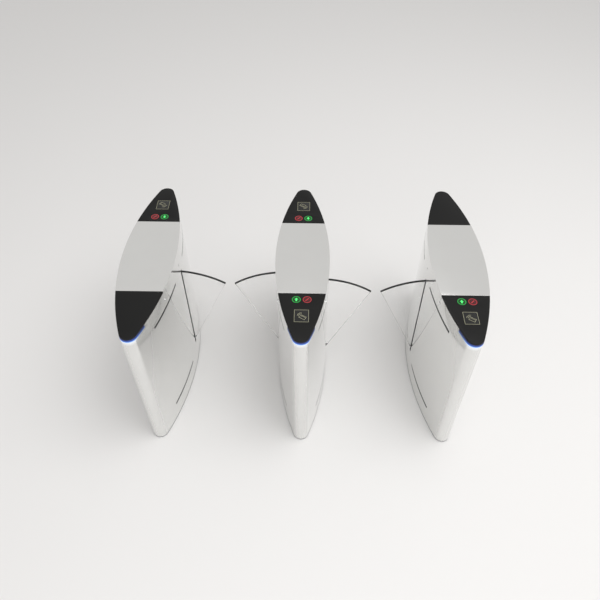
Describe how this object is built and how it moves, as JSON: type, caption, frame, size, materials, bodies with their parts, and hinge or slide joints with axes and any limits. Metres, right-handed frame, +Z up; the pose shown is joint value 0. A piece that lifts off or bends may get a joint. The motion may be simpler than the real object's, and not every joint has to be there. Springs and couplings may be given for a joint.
{
  "type": "flap turnstile",
  "caption": "Two-lane flap turnstile: three lens-shaped steel cabinets with card readers and clear flaps that swing into the cabinets.",
  "frame": {"origin": "on the floor, at the centre of the middle cabinet", "axes": "+X across the lanes, +Y along the walk, +Z up"},
  "size_m": [2, 1.2, 0.95],
  "materials": {
    "satin_steel": "satin brushed stainless steel",
    "black_cap": "smooth black moulded cover",
    "steel_plate": "zinc grey painted steel",
    "blue_diffuser": "blue lit diffuser",
    "dark_window": "infrared-clear black acrylic",
    "black_plastic": "black plastic liner",
    "chrome": "polished chrome",
    "clear_acrylic": "clear acrylic",
    "black_rubber": "matte rubber",
    "machined_steel": "machined",
    "motor_housing": "satin black paint",
    "board_box": "grey plastic enclosure",
    "green_lamp": "green lit lens",
    "red_lamp": "red lit lens",
    "reader_glass": "smoked reader window"
  },
  "bodies": {
    "cabinets": {"left_shell": "satin_steel", "left_base_plate": "steel_plate", "left_inner_frame": "steel_plate", "left_front_cap": "black_cap", "left_rear_cap": "black_cap", "left_light_bands": "blue_diffuser", "left_beam_windows": "dark_window", "left_slot_liners": "black_plastic", "centre_shell": "satin_steel", "centre_base_plate": "steel_plate", "centre_inner_frame": "steel_plate", "centre_front_cap": "black_cap", "centre_rear_cap": "black_cap", "centre_light_bands": "blue_diffuser", "centre_beam_windows": "dark_window", "centre_slot_liners": "black_plastic", "right_shell": "satin_steel", "right_base_plate": "steel_plate", "right_inner_frame": "steel_plate", "right_front_cap": "black_cap", "right_rear_cap": "black_cap", "right_light_bands": "blue_diffuser", "right_beam_windows": "dark_window", "right_slot_liners": "black_plastic", "control_boxes": "board_box", "power_supplies": "board_box", "card_readers": "black_plastic", "green_indicators": "green_lamp", "red_indicators": "red_lamp", "reader_windows": "reader_glass", "drive_brackets": "steel_plate", "flap_bearings": "machined_steel", "stop_buffers": "black_rubber", "gear_motors": "motor_housing"},
    "left_lid": {"left_lid": "satin_steel"},
    "left_lid_latch": {"left_lid_latch": "chrome"},
    "centre_lid": {"centre_lid": "satin_steel"},
    "centre_lid_latch": {"centre_lid_latch": "chrome"},
    "right_lid": {"right_lid": "satin_steel"},
    "right_lid_latch": {"right_lid_latch": "chrome"},
    "left_lane_left_flap": {"left_lane_left_panel": "clear_acrylic", "left_lane_left_edge_trim": "black_rubber", "left_lane_left_hub": "machined_steel", "left_lane_left_sector_gear": "machined_steel"},
    "left_lane_left_pinion": {"left_lane_left_drive_pinion": "machined_steel"},
    "left_lane_right_flap": {"left_lane_right_panel": "clear_acrylic", "left_lane_right_edge_trim": "black_rubber", "left_lane_right_hub": "machined_steel", "left_lane_right_sector_gear": "machined_steel"},
    "left_lane_right_pinion": {"left_lane_right_drive_pinion": "machined_steel"},
    "right_lane_left_flap": {"right_lane_left_panel": "clear_acrylic", "right_lane_left_edge_trim": "black_rubber", "right_lane_left_hub": "machined_steel", "right_lane_left_sector_gear": "machined_steel"},
    "right_lane_left_pinion": {"right_lane_left_drive_pinion": "machined_steel"},
    "right_lane_right_flap": {"right_lane_right_panel": "clear_acrylic", "right_lane_right_edge_trim": "black_rubber", "right_lane_right_hub": "machined_steel", "right_lane_right_sector_gear": "machined_steel"},
    "right_lane_right_pinion": {"right_lane_right_drive_pinion": "machined_steel"}
  },
  "joints": [
    {"name": "left_lane_left_flap_swing", "type": "hinge", "parent": "cabinets", "child": "left_lane_left_flap", "pos_m": [-0.745, 0.025, 0.175], "axis": [0, -1, 0], "range_deg": [0, 25.3]},
    {"name": "left_lane_left_pinion_spin", "type": "hinge", "parent": "cabinets", "child": "left_lane_left_pinion", "pos_m": [-0.835, 0.065, 0.2425], "axis": [0, 1, 0], "range_deg": [0, 101.5]},
    {"name": "left_lane_right_flap_swing", "type": "hinge", "parent": "cabinets", "child": "left_lane_right_flap", "pos_m": [-0.105, 0.025, 0.175], "axis": [0, 1, 0], "range_deg": [0, 25.3]},
    {"name": "left_lane_right_pinion_spin", "type": "hinge", "parent": "cabinets", "child": "left_lane_right_pinion", "pos_m": [-0.015, 0.065, 0.2425], "axis": [0, -1, 0], "range_deg": [0, 101.5]},
    {"name": "right_lane_left_flap_swing", "type": "hinge", "parent": "cabinets", "child": "right_lane_left_flap", "pos_m": [0.105, -0.025, 0.175], "axis": [0, -1, 0], "range_deg": [0, 25.3]},
    {"name": "right_lane_left_pinion_spin", "type": "hinge", "parent": "cabinets", "child": "right_lane_left_pinion", "pos_m": [0.015, -0.065, 0.2425], "axis": [0, 1, 0], "range_deg": [0, 101.5]},
    {"name": "right_lane_right_flap_swing", "type": "hinge", "parent": "cabinets", "child": "right_lane_right_flap", "pos_m": [0.745, -0.025, 0.175], "axis": [0, 1, 0], "range_deg": [0, 25.3]},
    {"name": "right_lane_right_pinion_spin", "type": "hinge", "parent": "cabinets", "child": "right_lane_right_pinion", "pos_m": [0.835, -0.065, 0.2425], "axis": [0, -1, 0], "range_deg": [0, 101.5]},
    {"name": "left_lid_hinge", "type": "hinge", "parent": "cabinets", "child": "left_lid", "pos_m": [-0.85, 0.28, 0.95], "axis": [-1, 0, 0], "range_deg": [0, 75]},
    {"name": "left_latch_turn", "type": "hinge", "parent": "cabinets", "child": "left_lid_latch", "pos_m": [-0.85, -0.277, 0.885], "axis": [1, 0, 0], "range_deg": [0, 90]},
    {"name": "centre_lid_hinge", "type": "hinge", "parent": "cabinets", "child": "centre_lid", "pos_m": [0, 0.28, 0.95], "axis": [-1, 0, 0], "range_deg": [0, 75]},
    {"name": "centre_latch_turn", "type": "hinge", "parent": "cabinets", "child": "centre_lid_latch", "pos_m": [0, -0.277, 0.885], "axis": [1, 0, 0], "range_deg": [0, 90]},
    {"name": "right_lid_hinge", "type": "hinge", "parent": "cabinets", "child": "right_lid", "pos_m": [0.85, 0.28, 0.95], "axis": [-1, 0, 0], "range_deg": [0, 75]},
    {"name": "right_latch_turn", "type": "hinge", "parent": "cabinets", "child": "right_lid_latch", "pos_m": [0.85, -0.277, 0.885], "axis": [1, 0, 0], "range_deg": [0, 90]}
  ],
  "couplings": [
    {"joint": "left_lane_right_flap_swing", "follows": "left_lane_left_flap_swing", "ratio": 1},
    {"joint": "left_lane_left_pinion_spin", "follows": "left_lane_left_flap_swing", "ratio": 4},
    {"joint": "left_lane_right_pinion_spin", "follows": "left_lane_left_flap_swing", "ratio": 4},
    {"joint": "right_lane_right_flap_swing", "follows": "right_lane_left_flap_swing", "ratio": 1},
    {"joint": "right_lane_left_pinion_spin", "follows": "right_lane_left_flap_swing", "ratio": 4},
    {"joint": "right_lane_right_pinion_spin", "follows": "right_lane_left_flap_swing", "ratio": 4}
  ]
}
